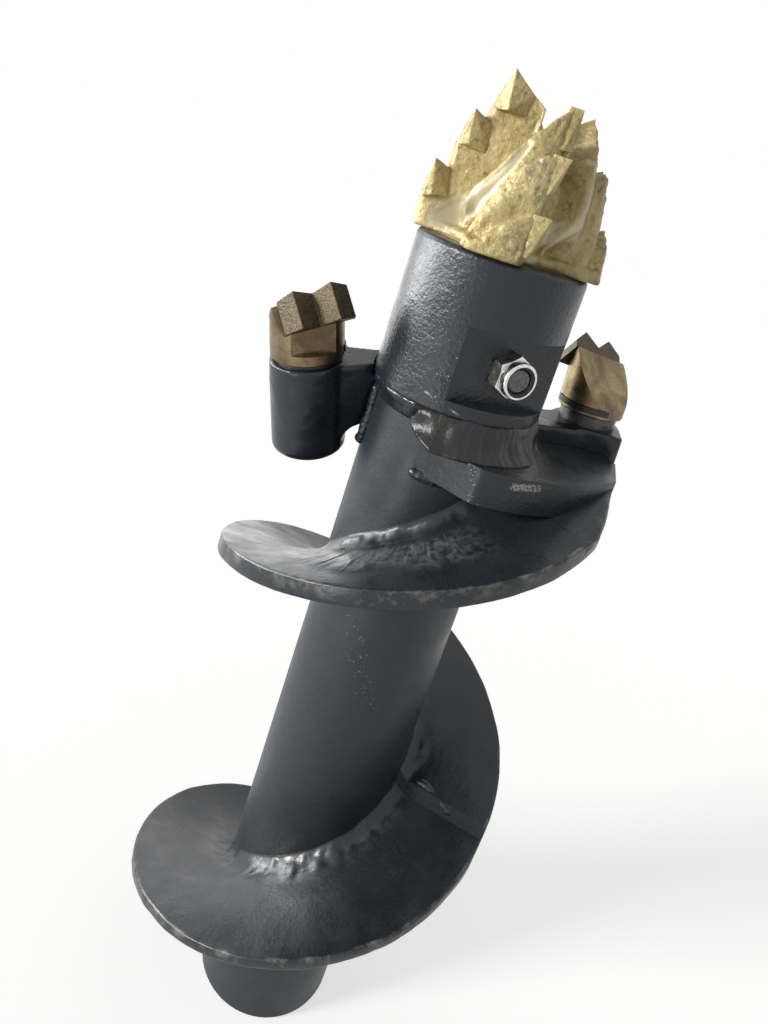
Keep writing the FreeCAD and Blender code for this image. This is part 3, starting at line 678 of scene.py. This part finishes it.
def flight_profile(plate):
    """A flight's closed section with weld fillets and rounded outer edges, and each point's weld share."""
    root = TUBE_RADIUS + 0.15
    hollow = FLIGHT_WELD_LEG + 1.5
    edge = FLIGHT_EDGE_ROUND
    upper = arc((root + hollow, hollow), hollow, 180, 270, 12)
    lower = [(r, -plate - z) for r, z in reversed(upper)]
    outer_top = arc((FLIGHT_RADIUS - edge, -edge), edge, 90, 0, 5)
    outer_low = arc((FLIGHT_RADIUS - edge, edge - plate), edge, 0, -90, 5)
    top = [(r, 0.0) for r in np.linspace(root + FLIGHT_WELD_LEG + 4, FLIGHT_RADIUS - edge - 1, 15)]
    low = [(r, -plate) for r, _ in reversed(top)]
    profile = upper + top + outer_top + outer_low + low + lower
    welds = [1.0] * len(upper) + [0.0] * (len(profile) - 2 * len(upper)) + [1.0] * len(lower)
    return profile, welds


def edge_wear(profile):
    """How worn each point of a flight's section is: most on the outer top corner, a little on the rim."""
    corner, rim = FLIGHT_RADIUS - 1.8, FLIGHT_RADIUS - 1
    return [1.0 if r > corner and z > -1.2 else 0.15 * (r > rim) for r, z in profile]


def flight_piece(name, start, end, plate, drop, ceiling, seed):
    profile, welds = flight_profile(plate)
    angles = np.linspace(start, end, int(abs(start - end) / FLIGHT_STEP) + 1)
    points = np.array([polar(r, angle, z + flight_top(angle) - drop) for angle in angles for r, z in profile])
    turn = np.repeat(angles, len(profile))
    radius = np.hypot(points[:, 0], points[:, 1])
    points[:, :2] *= (np.minimum(radius, by_angle(NOSE_EDGE, turn)) / radius)[:, None]
    out = points[:, :2] / radius[:, None]
    weld = np.tile(welds, len(angles))
    above = np.tile([1.0 if z > -plate / 2 else -1.0 for _, z in profile], len(angles))
    # Lumps and pools of the weld run, and a plate that was never quite true
    pools = np.clip(noise(points, 12.0, seed) + 0.15, -0.4, 1)
    swell = weld * (1.5 * pools + layered(points, FLIGHT_RUN, seed))
    swell *= smoothstep(TUBE_RADIUS + 0.1, TUBE_RADIUS + 1.5, radius)
    rim = smoothstep(FLIGHT_RADIUS - 6, FLIGHT_RADIUS, radius)
    sway = rim * layered(points, FLIGHT_SWAY, seed)
    flat = (1 - weld) * 0.3 * noise(points * (1, 1, 0.2), 26.0, seed + 4)
    points[:, :2] += out * (swell * 0.6 + np.minimum(sway - 0.35, 0))[:, None]
    points[:, 2] += swell * above * 0.8 + flat
    points[:, 2] = np.minimum(points[:, 2], ceiling)
    obj = ring_object(name, points, len(profile))
    obj.data.set_sharp_from_angle(angle=math.radians(50))
    store(obj.data, "wear", np.tile(edge_wear(profile), len(angles)))
    rise, top, fall, end_radius = SCUFF_RADII
    scuff = smoothstep(rise, top, radius)
    scuff *= 1 - smoothstep(fall, end_radius, radius + 5 * noise(points, 18.0, seed + 6))
    store(obj.data, "scuff", scuff * plateau(*SCUFF_ANGLES, turn) * (above > 0))
    return obj


def nose_section(angle):
    """The strip's section: its inner side hidden in the carrier plate, its outer edges rounded."""
    inner = by_angle(CARRIER_EDGE, angle) - 1.2
    hidden = 1 - smoothstep(-37, -32.5, angle)
    outer = max(by_angle(NOSE_EDGE, angle) - 0.2 - 1.6 * hidden, inner + 0.8)
    top = flight_top(angle) - 1.2 * hidden
    low = top - LEAD_PLATE
    edge = min(2.2, (outer - inner) / 2.5)
    return [(inner, top - 0.3), (outer - edge * 1.6, top - 0.1), (outer - edge * 0.5, top - 0.6),
            (outer, top - edge), (outer, low + edge * 0.6), (outer - edge * 0.5, low + 0.2), (inner, low)]


def flight_nose(name, seed):
    """The lead flight's outer strip, rising beside the carrier plate's edge until it runs into it."""
    angles = np.linspace(NOSE_START, NOSE_END, int(abs(NOSE_START - NOSE_END) / FLIGHT_STEP) + 1)
    rings = [[polar(r, angle, min(z, CARRIER_TOP - 0.4)) for r, z in nose_section(angle)] for angle in angles]
    points = np.array(rings).reshape(-1, 3)
    points[:, 2] += 0.25 * noise(points, 9.0, seed)
    obj = ring_object(name, points, len(rings[0]))
    obj.data.set_sharp_from_angle(angle=math.radians(60))
    store(obj.data, "wear", np.tile([0.0, 0.3, 1.0, 0.3, 0.0, 0.0, 0.0], len(angles)))
    store(obj.data, "scuff", np.zeros(len(points)))
    return obj


# Welds

def bead(name, path, radius, seed, lumps=0.35):
    """Weld run along a path: overlapping ripples with lumps and thin spots, tapered at its ends."""
    path = np.asarray(path, float)
    length = np.concatenate([[0], np.cumsum(np.linalg.norm(np.diff(path, axis=0), axis=1))])
    samples = np.linspace(0, length[-1], max(int(length[-1] / BEAD_STEP), 8))
    middle = np.stack([np.interp(samples, length, path[:, i]) for i in range(3)], 1)
    ahead = np.gradient(middle, axis=0)
    ahead /= np.linalg.norm(ahead, axis=1)[:, None]
    side = np.cross(ahead, (0.31, 0.17, 0.94))
    side /= np.linalg.norm(side, axis=1)[:, None]
    up = np.cross(side, ahead)
    size = radius * (1 + lumps * noise(middle, 8.0, seed))
    ripple = np.abs(np.sin(samples * math.pi / BEAD_PITCH + 2.5 * noise(middle, 6.0, seed + 5)))
    size *= 0.95 + 0.09 * ripple
    size *= np.sqrt(np.clip(np.minimum(samples, length[-1] - samples) / radius, 0.04, 1))
    points = []
    for turn in 2 * math.pi * np.arange(BEAD_SIDES) / BEAD_SIDES:
        points.append(middle + (side * math.cos(turn) + up * math.sin(turn)) * size[:, None])
    points = np.stack(points, 1).reshape(-1, 3)
    centre = np.repeat(middle, BEAD_SIDES, axis=0)
    points = centre + (points - centre) * (1 + 0.12 * noise(points, 2.6, seed + 9))[:, None]
    return ring_object(name, points, BEAD_SIDES)


def skirt(name, start, end, section, seed, rough, fade, ripple):
    """Weld fillet round the stem, whose section shrinks to the tube over the angle fade at either end."""
    section = [(TUBE_RADIUS + out, COLLAR_FOOT + up) for out, up in section]
    inner = section[0][0]
    middle = (section[0][1] + section[-1][1]) / 2
    angles = np.arange(start, end + 0.1, SKIRT_STEP)
    points = []
    for angle in angles:
        full = min(1.0, (angle - start) / fade + 0.05, (end - angle) / fade + 0.05)
        points += [polar(inner + (r - inner) * full, angle, middle + (z - middle) * (0.4 + 0.6 * full))
                   for r, z in section]
    points = np.array(points)
    radius = np.hypot(points[:, 0], points[:, 1])
    turn = np.arctan2(points[:, 1], points[:, 0])
    waves = np.sin(SKIRT_RIPPLES_PER_TURN * turn + 2.5 * noise(points, 9.0, seed + 3))
    offset = layered(points, SKIRT_LUMPS, seed) * rough
    offset += ripple * waves * (0.5 + noise(points, 16.0, seed + 4))
    free = np.tile([0.0] + [1.0] * (len(section) - 2) + [0.0], len(angles))
    points[:, :2] *= (1 + free * offset / radius)[:, None]
    points[:, 2] += 0.5 * free * offset
    return ring_object(name, points, len(section))


def round_path(radius, height, start, end, wander, seed):
    """Path round the stem, wandering a little up and down."""
    path = np.array([polar(radius, angle, height) for angle in np.arange(start, end + 0.5, 1.5)])
    path[:, 2] += wander * noise(path, 11.0, seed)
    return path


# Pilot bit

def on_wing(angle, reach, ahead, height):
    """Point on a wing turned to an angle, ahead of its axial plane and above the rim."""
    a = math.radians(angle)
    x = reach * math.cos(a) - ahead * math.sin(a)
    y = reach * math.sin(a) + ahead * math.cos(a)
    return np.array([x, y, RIM + height])


def band_share(points):
    """How far each point lies on the smooth band along a flute: 1 in its middle, 0 beside it."""
    share = np.zeros(len(points))
    for angle, drop in WINGS:
        # Beside the other wings the band is weaker: painted shade
        strength = 1.0 if angle == LIT_BAND_WING else SHADED_BAND
        a = math.radians(-180 - angle)
        x = points[:, 0] * math.cos(a) - points[:, 1] * math.sin(a)
        y = points[:, 0] * math.sin(a) + points[:, 1] * math.cos(a)
        turned = np.stack([x, y, points[:, 2] - RIM + drop], 1)
        for (*start, wide), (*end, narrow) in zip(FLUTE_BAND, FLUTE_BAND[1:]):
            start, step = np.array(start), np.array(end) - start
            along = np.clip((turned - start) @ step / (step @ step), 0, 1)
            away = np.linalg.norm(turned - start - along[:, None] * step, axis=1)
            width = wide + (narrow - wide) * along
            share = np.maximum(share, strength * (1 - smoothstep(0.55, 1.2, away / width)))
    return share


def clot_share(points):
    """How far each point lies in the rough hard-facing round a tooth's foot: 1 inside it, 0 beside it."""
    share = np.zeros(len(points))
    for angle, drop in WINGS:
        for (_, foot, _, _), strength in zip(TEETH, CLOT_STRENGTHS):
            for ahead, up, reach in CLOT_PLACES:
                centre = on_wing(angle, foot[0] + reach, ahead, foot[1] + up - drop)
                away = np.linalg.norm(points - centre, axis=1) + 1.8 * noise(points, 5.0, 19)
                share = np.maximum(share, strength * (1 - smoothstep(*CLOT_FADE, away)))
    return share


def draw_in_base(points):
    """Draws the casting's base in towards the axis between the wings, changing the points in place."""
    radius = np.hypot(points[:, 0], points[:, 1])
    turn = (np.degrees(np.arctan2(points[:, 1], points[:, 0])) - 180) % 90
    height = points[:, 2] - RIM
    share = plateau(*BASE_DRAW_ANGLES, turn) * plateau(-0.2, 0.1, 6, 24, height)
    pull = BASE_DRAW * share * smoothstep(22, 40, radius)
    points[:, :2] *= ((radius - pull) / np.maximum(radius, 1))[:, None]


def pilot_piece():
    """The casting: softened wings, base drawn in between them, sand roughness, smooth flutes."""
    obj = cast("pilot_casting", "pilot_bit", CASTING_VOXEL, CASTING_SOFTENING)
    mesh = obj.data
    points = get_points(mesh)
    normals = get_normals(mesh)
    free = smoothstep(RIM + 0.5, RIM + 3.0, points[:, 2])
    draw_in_base(points)
    band = band_share(points)
    clots = clot_share(points)
    # Sand grain, pits and lumps, with clotted hard-facing round the teeth
    pits = np.clip(noise(points, 2.6, 14) - 0.45, 0, 1)
    blobs = np.clip(noise(points, 4.2, 15) - 0.42, 0, 1) * 1.6
    blob_area = smoothstep(0.1, 0.5, noise(points, 16.0, 16))
    offset = (layered(points, SAND) - pits + blobs * blob_area) * (1 - 0.95 * band)
    offset += clots * (0.8 * np.abs(noise(points, 3.4, 18)) + 0.3 * noise(points, 1.9, 20)) - 0.7 * band
    set_points(mesh, points + normals * (offset * free)[:, None])
    store(mesh, "band", band * free)
    store(mesh, "clots", clots * free)
    return obj


def tip_corners(angle, drop, level):
    """Corners of one hard tip: a ridge down its front, a narrow facet outside it and a broad one inside."""
    point, foot, at_point, at_foot = TEETH[level]
    inner_point, inner_foot = [(point[0] + reach, point[1] + up) for reach, up in TIP_INNER[level]]
    ridge_foot = (foot[0] + TIP_RIDGE_FOOT[level][0], foot[1] + TIP_RIDGE_FOOT[level][1])
    # Each corner with its distance ahead of the cutting face, just short of the solid tip's thickness
    places = [(point, -2.5), (point, at_point * 0.97), (foot, -2.5), (foot, 0.6),
              (ridge_foot, at_foot * 0.97), (inner_foot, -1.0), (inner_foot, 0.4),
              (inner_point, -2.5), (inner_point, 0.9)]
    return [on_wing(angle, reach, WING_FACE + ahead, height - drop) for (reach, height), ahead in places]


def tips_piece():
    """The twelve hard tips as ridged pyramids."""
    bm = bmesh.new()
    for angle, drop in WINGS:
        for level in range(len(TEETH)):
            made = [bm.verts.new(corner * MM) for corner in tip_corners(angle, drop, level)]
            hull = bmesh.ops.convex_hull(bm, input=made)
            spare = hull["geom_interior"] + hull["geom_unused"]
            spare = [part for part in spare if isinstance(part, bmesh.types.BMVert)]
            bmesh.ops.delete(bm, geom=spare, context="VERTS")
    mesh = bpy.data.meshes.new("pilot_tips_ridged")
    bm.to_mesh(mesh)
    bm.free()
    obj = add_object("pilot_tips_ridged", mesh)
    add_voxel_skin(obj, TIP_VOXEL)
    evaluated(obj)
    mesh = obj.data
    shade_smooth(mesh)
    points = get_points(mesh)
    clots = clot_share(points)
    offset = layered(points, TIP_GRAIN) + clots * 0.45 * noise(points, 2.3, 63) - 0.1
    set_points(mesh, points + get_normals(mesh) * offset[:, None])
    store(mesh, "band", np.zeros(len(points)))
    store(mesh, "clots", clots * 0.7)
    return obj


# Pieces

def make_stem():
    # The tube's and the collar's marks are painted glints, and the plate's are a scratch and painted glints
    tube_paint = paint("paint_tube", peel=0.13, wave=0.12, rough=(0.36, 0.5), dust=0.3,
                       marks=round_marks(TUBE_GLINTS, TUBE_RADIUS))
    collar_paint = paint("paint_collar", peel=0.36, wave=0.25, rough=(0.24, 0.38), dust=0.2,
                         marks=round_marks(COLLAR_GLINTS, COLLAR_RADIUS))
    plate_paint = paint("paint_plate", peel=0.2, wave=0.15, rough=(0.24, 0.4), dust=0.3, marks=PLATE_SCRATCH_AND_GLINTS)
    tube = bevelled("stem_tube_painted", "stem_tube", 0.4, segments=2)
    settle(tube, tube_paint, ["stem_tube"])
    collar = bevelled("collar_painted", "pilot_holder", 0.9)
    settle(collar, collar_paint, ["pilot_holder"])
    plate = bevelled("carrier_painted", "carrier_plate", 1.0)
    settle(plate, plate_paint, ["carrier_plate"])
    give(nodes["drive_sleeve"], metal_look("sleeve_steel", (0.35, 0.34, 0.33), 0.35, 300.0, 0.01))


def make_flights():
    flight_paint = paint("paint_flight", peel=0.1, wave=0.2, rough=(0.2, 0.4), dust=0.45, wear=True)
    ceiling = CARRIER_UNDERSIDE - 0.1
    lead = flight_piece("lead_flight_painted", LEAD_START, LEAD_END, LEAD_PLATE, 0.0, ceiling, seed=21)
    settle(lead, flight_paint, ["lead_flight"])
    settle(flight_nose("lead_flight_nose", seed=22), flight_paint, ["lead_flight"])
    main_end = flight_angle(MAIN_END_TOP)
    main = flight_piece("main_flight_painted", MAIN_START, main_end, MAIN_PLATE, MAIN_DROP, RIM, seed=31)
    settle(main, flight_paint, ["main_flight"])


def make_teeth(dark):
    holder_paint = paint("paint_holder", peel=0.05, wave=0.25, rough=(0.2, 0.36), dust=0.15)
    insert = insert_look()
    ring_metal = metal_look("ring_dull", (0.1, 0.1, 0.1), 0.4, 400.0, 0.02, metallic=0.7)
    for side, plating in PLATINGS.items():
        holder = cast(f"{side}_holder_painted", f"{side}_tooth_holder", HOLDER_VOXEL, HOLDER_SOFTENING)
        points = get_points(holder.data)
        points += get_normals(holder.data) * layered(points, HOLDER_WAVES)[:, None]
        set_points(holder.data, points)
        settle(holder, holder_paint, [f"{side}_tooth_holder"])
        tooth = bevelled(f"{side}_tooth_plated", f"{side}_tooth", 0.5, sharp=22.0)
        settle(tooth, plating_look(*plating), [f"{side}_tooth"])
        hard = bevelled(f"{side}_insert_grainy", f"{side}_tooth_insert", 0.45, sharp=22.0)
        settle(hard, insert, [f"{side}_tooth_insert"])
        give(nodes[f"{side}_tooth_band"], dark)
        give(nodes[f"{side}_tooth_ring"], ring_metal)


def make_fasteners(dark):
    zinc = metal_look("zinc_bright", (0.7, 0.69, 0.65), 0.24, 700.0, 0.012, dark=0.75)
    bolt_metal = metal_look("bolt_dark", (0.12, 0.125, 0.13), 0.35, 600.0, 0.02, metallic=0.8, dark=0.5)
    settle(bevelled("nut_zinc", "pilot_nut", 0.5), zinc, ["pilot_nut"])
    settle(bevelled("bolt_zinc", "pilot_bolt", 0.3, segments=2), bolt_metal, ["pilot_bolt"])
    give(nodes["nut_lock_ring"], dark)


def make_pilot_bit():
    gold = casting_look()
    settle(pilot_piece(), gold, ["pilot_bit"])
    settle(tips_piece(), gold, sorted(name for name in nodes if name.startswith("pilot_tip")))


def neck_weld(name, angle, low, seed):
    """Upright bead beside the neck of a tooth holder."""
    ends = [polar(TUBE_RADIUS + 0.55, angle, height) for height in (NECK_TOP, low)]
    return bead(name, ends, 2.8, seed)


def make_welds():
    weld_paint = paint("paint_weld", peel=0.1, wave=0.5, rough=(0.16, 0.3), dust=0.55)
    burnt_paint = paint("paint_burnt", peel=0.3, wave=0.5, rough=(0.26, 0.46), dust=0.4, tone=BURNT_PAINT)
    front = INNER_NECK_FRONT
    inner_front = [polar(TUBE_RADIUS + 0.95, front, NECK_TOP), polar(TUBE_RADIUS + 0.35, front + 0.5, 350),
                   polar(TUBE_RADIUS + 0.35, front - 1, INNER_NECK_LOW)]
    under_plate = round_path(TUBE_RADIUS + 0.25, CARRIER_UNDERSIDE - 0.5, -104, -44, 0.6, seed=55)
    under_neck = round_path(TUBE_RADIUS + 0.65, INNER_NECK_LOW - 0.2, INNER_NECK_BACK, front, 0.8, seed=59)
    under_collar = skirt("weld_collar", 58, 256, UNDER_COLLAR, 51, rough=1.1, fade=9.0, ripple=0.0)
    settle(under_collar, weld_paint, [])
    on_carrier = skirt("weld_collar_carrier", -114, 66, ON_CARRIER, 53, rough=1.4, fade=22.0, ripple=0.13)
    settle(on_carrier, burnt_paint, [])
    for run in (
        bead("weld_carrier_low", under_plate, 2.8, seed=56),
        bead("weld_inner_neck_front", inner_front, 2.7, seed=57, lumps=0.5),
        neck_weld("weld_inner_neck_back", INNER_NECK_BACK, INNER_NECK_LOW, seed=58),
        bead("weld_inner_neck_low", under_neck, 2.8, seed=60),
        neck_weld("weld_outer_neck_front", OUTER_NECK_FRONT, OUTER_NECK_LOW, seed=63),
        neck_weld("weld_outer_neck_back", OUTER_NECK_BACK, OUTER_NECK_LOW, seed=64),
        bead("weld_lap", LAP_WELD, 2.6, seed=65, lumps=0.5),
    ):
        settle(run, weld_paint, [])


# Light

def make_world():
    world = bpy.data.worlds.new("plain_world")
    scene.world = world
    world.use_nodes = True
    tree = Nodes(world.node_tree)
    background = world.node_tree.nodes["Background"]
    strength = tree.remap(tree.background_rays(), 0.0, 1.0, WORLD_LIGHT, WORLD_SEEN)
    tree.feed(background.inputs["Color"], (1.0, 1.0, 1.0))
    tree.feed(background.inputs["Strength"], strength)


def add_lamp(name, data, towards):
    """Lamp whose light comes from the direction towards."""
    lamp = add_object(name, data)
    lamp.rotation_mode = "QUATERNION"
    lamp.rotation_quaternion = towards.to_track_quat("Z", "Y")
    return lamp


def make_lamps():
    for name, azimuth, height, energy, spread, colour, lights_matt in SUNS:
        data = bpy.data.lights.new(name, "SUN")
        data.energy = energy
        data.angle = math.radians(spread)
        data.color = colour
        rise = math.radians(height)
        sun = add_lamp(name, data, Vector(polar(math.cos(rise), azimuth, math.sin(rise))))
        sun.visible_diffuse = lights_matt
    for name, centre, width, height, watts in PANELS:
        data = bpy.data.lights.new(name, "AREA")
        data.shape = "RECTANGLE"
        data.size = width * MM
        data.size_y = height * MM
        data.energy = watts
        panel = add_lamp(name, data, Vector(centre) - Vector(PANEL_AIM))
        panel.location = Vector(centre) * MM
        panel.visible_diffuse = False
        panel.visible_camera = False


def make_floor():
    far = FLOOR_REACH
    corners = [(x, y, -FLOOR_DEPTH) for x, y in ((-far, -far), (far, -far), (far, far), (-far, far))]
    floor = mesh_object("floor", corners, [(0, 1, 2, 3)])
    look = Look("floor_white")
    look.set(Base_Color=FLOOR_TONE, Roughness=0.9, Emission_Color=(1.0, 1.0, 1.0))
    look.set(Emission_Strength=look.times(look.background_rays(), FLOOR_GLOW))
    give(floor, look.material)


scene.view_settings.view_transform = "Standard"
place_camera()
make_world()
make_lamps()
make_floor()
band_dark = metal_look("band_dark", (0.02, 0.02, 0.022), 0.35, 500.0, 0.02, metallic=0.0, dark=0.7)
make_stem()
make_flights()
make_teeth(band_dark)
make_fasteners(band_dark)
make_pilot_bit()
make_welds()
